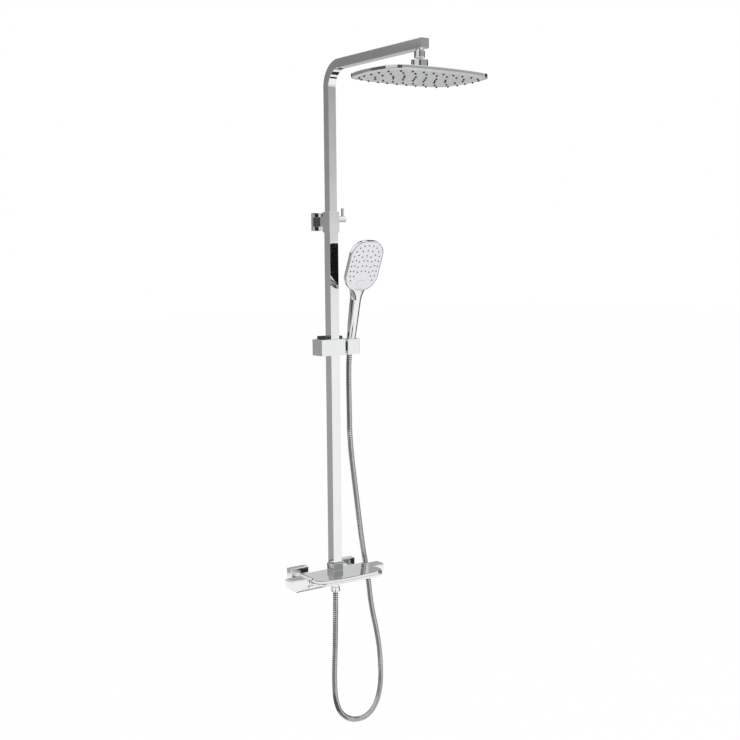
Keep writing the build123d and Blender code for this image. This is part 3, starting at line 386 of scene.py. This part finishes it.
# %% Ribs
HOSE_RADIUS, RIB_VALLEY, RIB_PITCH, RING_SIDES = 0.0070, 0.0062, 0.0052, 28
RIB_SHAPE = (  # share of the pitch, height from groove to crest
    (0.0, 0.0), (0.14, 0.0), (0.22, 0.75), (0.28, 1.0),
    (0.36, 1.0), (0.8, 1.0), (0.88, 1.0), (0.94, 0.75),
)


def rib_rings(mesh, line):
    """Rings of points along the line, the groove's depth marked on each, with length and rib count."""
    reach = [0.0]
    for a, b in zip(line, line[1:]):
        reach.append(reach[-1] + (b - a).length)
    length = reach[-1]
    count = round(length / RIB_PITCH)
    stations = [(i + at) * length / count for i in range(count) for at, _ in RIB_SHAPE] + [length]
    heights = [h for _ in range(count) for _, h in RIB_SHAPE] + [0.0]
    # Groove depth, which the hose finish turns into painted shade.
    groove = mesh.verts.layers.float.new("groove")
    rings, k = [], 0
    side = (line[1] - line[0]).normalized().orthogonal().normalized()
    for at, height in zip(stations, heights):
        while k < len(line) - 2 and reach[k + 1] < at:
            k += 1
        share = (at - reach[k]) / (reach[k + 1] - reach[k])
        centre = line[k].lerp(line[k + 1], share)
        heading = (line[k + 1] - line[k]).normalized()
        side = (side - side.dot(heading) * heading).normalized()
        other = heading.cross(side)
        radius = RIB_VALLEY + (HOSE_RADIUS - RIB_VALLEY) * height
        ring = []
        for n in range(RING_SIDES):
            angle = 2 * math.pi * n / RING_SIDES
            out = math.cos(angle) * side + math.sin(angle) * other
            ring.append(mesh.verts.new(centre + radius * out))
            ring[-1][groove] = 1.0 - height
        rings.append(ring)
    return rings, length, count


def ribbed_hose(name, line):
    """A closed tube of rings along the line, each ring's size following the rib it belongs to."""
    mesh = bmesh.new()
    rings, length, count = rib_rings(mesh, line)
    for one, two in zip(rings, rings[1:]):
        for n in range(RING_SIDES):
            m = (n + 1) % RING_SIDES
            mesh.faces.new((one[n], one[m], two[m], two[n]))
    mesh.faces.new(list(reversed(rings[0])))
    mesh.faces.new(rings[-1])
    data = bpy.data.meshes.new(name)
    mesh.to_mesh(data)
    mesh.free()
    data.polygons.foreach_set("use_smooth", [True] * len(data.polygons))
    data.materials.append(finishes["hose_steel"])
    piece = bpy.data.objects.new(name, data)
    scene.collection.objects.link(piece)
    print(name, "length", round(length * MM_PER_M), "mm,", count, "ribs")
    return piece, length


# %% [markdown]
# ## Laying the hose
# On the real column the hose gives way as the slider, the holder and the hand shower move. A simulation
# could bend it, but would have to run again at every pose. Here each stretch is laid once where it lies
# and does not move with those bodies. Each one stands for its plain solid, which it hides, and says its
# length.


# %% Lay the hose
def lay_hose(name, node, route, bodies, start, end, far_end, ends_with):
    """One stretch of hose, in place of its solid."""
    line = smooth_line(name, route)
    piece, length = ribbed_hose(name, line)
    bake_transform(piece)
    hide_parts(node)


# Where each stretch leaves its first body, and where it belongs wholly to its second.
HANGING_BLEND = ((0.0, -0.076, -0.0355), (0.19, -0.076, 0.0886))
NECK_BLEND = ((0.0568, -0.0673, 0.266), (0.0568, -0.0673, 0.5))
TIP_BLEND = ((0.0547, -0.0691, 0.5), (0.0547, -0.0691, 0.592))
lay_hose("hose_hanging", "hose", HANGING_STRETCH, ("mixer_and_column", "slider"),
         *HANGING_BLEND, "object", [nodes["hose_nut_lower"]])
lay_hose("hose_at_slider", "hose_neck", NECK_STRETCH, ("slider", "swivel_holder"),
         *NECK_BLEND, "object", [])
lay_hose("hose_at_handle", "hose_tip", TIP_STRETCH, ("swivel_holder", "hand_shower"),
         *TIP_BLEND, "object", [nodes["hose_cone_nut"]])

# %% [markdown]
# ## Studio cards
# Polished metal looks like whatever stands round it. In a product studio that is white surroundings with
# grey and black cards just outside the picture, which give chrome its dark edges and its graded faces. A
# picture of a studio could be wrapped round the scene; plain cards are easier to place and to explain.


# %% Card helpers
def glow(name, stops):
    """A plain card's finish, graded from the card's lower edge to its upper edge."""
    material = bpy.data.materials.new(name)
    material.use_nodes = True
    tree = material.node_tree
    tree.nodes.remove(tree.nodes["Principled BSDF"])
    where = add(tree, "ShaderNodeTexCoord", (-800, 0))
    split = add(tree, "ShaderNodeSeparateXYZ", (-600, 0))
    shade = ramp(tree, [(at, grey(level)) for at, level in stops], (-400, 0))
    light = add(tree, "ShaderNodeEmission", (-100, 0))
    join(tree, where, "Generated", split, "Vector")
    join(tree, split, "Z", shade, "Fac")
    join(tree, shade, "Color", light, "Color")
    join(tree, light, "Emission", tree.nodes["Material Output"], "Surface")
    return material


DEGREES_PER_STEP = 3


def panel(name, bearings, inner, outer, stops):
    """A curved card round the set, from (radius, height) inner to outer, seen only in polished metal.

    Bearings are in degrees from straight behind the column, clockwise seen from above."""
    mesh = bmesh.new()
    first, last = bearings
    steps = max(2, round((last - first) / DEGREES_PER_STEP))
    pairs = []
    for n in range(steps + 1):
        bearing = math.radians(first + (last - first) * n / steps)
        pairs.append([
            mesh.verts.new((radius * math.sin(bearing), radius * math.cos(bearing), height))
            for radius, height in (inner, outer)
        ])
    for one, two in zip(pairs, pairs[1:]):
        mesh.faces.new((one[0], two[0], two[1], one[1]))
    data = bpy.data.meshes.new(name)
    mesh.to_mesh(data)
    mesh.free()
    data.materials.append(glow(name, stops))
    card = bpy.data.objects.new(name, data)
    scene.collection.objects.link(card)
    card.visible_camera = False
    card.visible_shadow = False
    card.visible_diffuse = False
    card.visible_transmission = False


def even(low, high=None):
    """Stops of a card of one brightness, or graded from low to high."""
    return ((0.0, low), (1.0, low if high is None else high))


# %% [markdown]
# ## Standing cards
# The far cards ring the set. Faces that look forward mirror the right one, faces that look left mirror
# the left one, and the two dark ones draw the thin dark lines on round pieces. Nearer ones behind the
# column give the black edges, the strip on the shelf top, and the dark patch on the riser.

# %% Standing cards
FLOOR, FAR, TOP = -1.0, 15.0, 9.0
BACK, BEFORE_BACK, STRIP = 4.0, 3.95, 1.2
STRIP_LOW, STRIP_HIGH = 0.17, 0.6
STANDING = (  # name, bearings, radius, lower and upper height, brightness from bottom to top
    ("right", (111, 198), FAR, FLOOR, TOP, (
        (0.01, 1.0), (0.11, 0.9), (0.2, 0.77), (0.26, 0.67), (0.33, 0.56), (0.41, 0.47), (0.48, 0.36),
        (0.53, 0.3), (0.57, 1.0))),
    ("front_dark", (198, 224), FAR, FLOOR, TOP, ((0.0, 0.08), (0.5, 0.08), (0.6, 1.0))),
    ("front_light", (224, 290), FAR, FLOOR, TOP, ((0.0, 0.55), (0.4, 0.5), (0.6, 1.0))),
    ("side_dark", (290, 314), FAR, FLOOR, TOP, ((0.0, 0.1), (0.5, 0.1), (0.6, 1.0))),
    ("left", (314, 350), FAR, FLOOR, TOP, (
        (0.01, 0.37), (0.11, 0.345), (0.26, 0.305), (0.41, 0.26), (0.5, 0.24), (0.6, 0.9))),
    ("back", (-10, 111), BACK, FLOOR, 2.7, even(0.03)),
    ("back_strip", (30.4, 42), STRIP, STRIP_LOW, STRIP_HIGH, even(0.64, 0.68)),
    ("back_strip_left", (-5, 30.4), STRIP, STRIP_LOW, STRIP_HIGH, even(0.42)),
    ("back_strip_right", (42, 80), STRIP, STRIP_LOW, STRIP_HIGH, even(0.42)),
    ("shelf_end", (84, 111), BEFORE_BACK, 0.45, 1.3, even(0.75)),
    ("over_shower", (-15, 30), 2.0, 2.4, 5.2, even(0.05)),
    ("under_arm", (33, 45), BEFORE_BACK, 0.5, 0.78, even(0.5, 0.56)),
    ("behind_shower", (28, 66), 1.5, 1.42, 2.15, even(0.01)),
)
for name, bearings, radius, low, high, stops in STANDING:
    panel(name, bearings, (radius, low), (radius, high), stops)
print("standing cards:", len(STANDING))

# %% [markdown]
# ## Cards on the ground
# Rounded edges, undersides and the curved handle mirror the ground. Flat dark cards there, in rings
# around the set, give them their darker bands.

# %% Cards on the ground
LYING = (  # name, bearings, near and far radius, brightness
    ("ground_back", (-10, 70), 2.7, BACK, 0.03),
    ("ground_right", (70, 111), 1.2, 3.3, 0.03),
    ("ground_near", (140, 420), 0.25, 1.15, 0.06),
    ("ground_shower_rim", (124, 146), 2.2, 2.9, 0.03),
    ("ground_dark_near", (198, 224), 1.2, 3.3, 0.1),
    ("ground_dark_far", (198, 224), 4.2, FAR, 0.1),
    ("ground_side_near", (290, 314), 1.2, 3.2, 0.1),
    ("ground_side_far", (290, 314), 4.2, FAR, 0.1),
    ("ground_left", (314, 350), 3.65, FAR, 0.38),
    ("ground_front_near", (224, 290), 1.2, 3.2, 0.4),
    ("ground_front_middle", (224, 290), 4.3, 6.0, 0.4),
    ("ground_front_far", (224, 290), 6.0, FAR, 0.06),
)
CARD_LIFT, CARD_RISE = 0.02, 0.01
low = FLOOR + CARD_LIFT
for name, bearings, near, far, brightness in LYING:
    panel(name, bearings, (near, low), (far, low + CARD_RISE), even(brightness))
print("cards on the ground:", len(LYING))

# %% [markdown]
# ## Floor
# The column hangs on a wall, so the floor lies well below it, where a shower tray would be. It is pale and
# matt under the lamp. Looked at directly, or in a mirror, it glows almost white, so that it joins the
# white surroundings with no horizon. The Light Path node tells those rays apart.

# %% Floor
FLOOR_HALF, FLOOR_TONE, FLOOR_GLOW = 30.0, 0.95, 0.9
floor_data = bpy.data.meshes.new("floor")
floor_mesh = bmesh.new()
bmesh.ops.create_grid(floor_mesh, x_segments=2, y_segments=2, size=FLOOR_HALF)
floor_mesh.to_mesh(floor_data)
floor_mesh.free()
floor = bpy.data.objects.new("floor", floor_data)
floor.location = (0.0, 0.0, FLOOR)
scene.collection.objects.link(floor)

pale = bpy.data.materials.new("floor")
pale.use_nodes = True
tree = pale.node_tree
tree.nodes.remove(tree.nodes["Principled BSDF"])
matt = add(tree, "ShaderNodeBsdfDiffuse", (-300, 120))
preset(matt, {"Color": (*grey(FLOOR_TONE), 1.0)})
white = add(tree, "ShaderNodeEmission", (-300, -60))
path = add(tree, "ShaderNodeLightPath", (-900, 320))
seen = add(tree, "ShaderNodeMath", (-650, 320), operation="MAXIMUM")
direct = add(tree, "ShaderNodeMath", (-400, 320), operation="MAXIMUM")
share = add(tree, "ShaderNodeMath", (-150, 320), operation="MULTIPLY")
preset(share, {1: FLOOR_GLOW})
blend = add(tree, "ShaderNodeMixShader", (0, 0))
join(tree, path, "Is Camera Ray", seen, 0)
join(tree, path, "Is Glossy Ray", seen, 1)
join(tree, seen, "Value", direct, 0)
join(tree, path, "Is Transmission Ray", direct, 1)
join(tree, direct, "Value", share, 0)
join(tree, share, "Value", blend, "Fac")
join(tree, matt, "BSDF", blend, 1)
join(tree, white, "Emission", blend, 2)
join(tree, blend, "Shader", tree.nodes["Material Output"], "Surface")
floor_data.materials.append(pale)
print("floor at", FLOOR, "m")

# %% [markdown]
# ## Surroundings and lamp
# White surroundings light the plastics evenly, and one large soft lamp from the front right gives them a
# little shape. The lamp is kept out of mirrors, because the cards already draw what chrome shows.

# %% Surroundings and lamp
LAMP_PLACE, LAMP_AIM = (1.8, -2.6, 2.6), Vector((0.0, -0.1, 0.4))
LAMP_SIDE, LAMP_WATTS = 2.4, 12.0

scene.world = bpy.data.worlds.new("studio")
scene.world.use_nodes = True
preset(scene.world.node_tree.nodes["Background"], {"Color": (*grey(1.0), 1.0), "Strength": 1.0})

lamp_data = bpy.data.lights.new("soft_lamp", "AREA")
lamp_data.shape = "RECTANGLE"
lamp_data.size, lamp_data.size_y = LAMP_SIDE, LAMP_SIDE
lamp_data.energy = LAMP_WATTS
lamp = bpy.data.objects.new("soft_lamp", lamp_data)
scene.collection.objects.link(lamp)
lamp.location = LAMP_PLACE
lamp.rotation_euler = (LAMP_AIM - lamp.location).to_track_quat("-Z", "Y").to_euler()
lamp.visible_glossy = False

scene.view_settings.view_transform = "Standard"
print("studio ready")
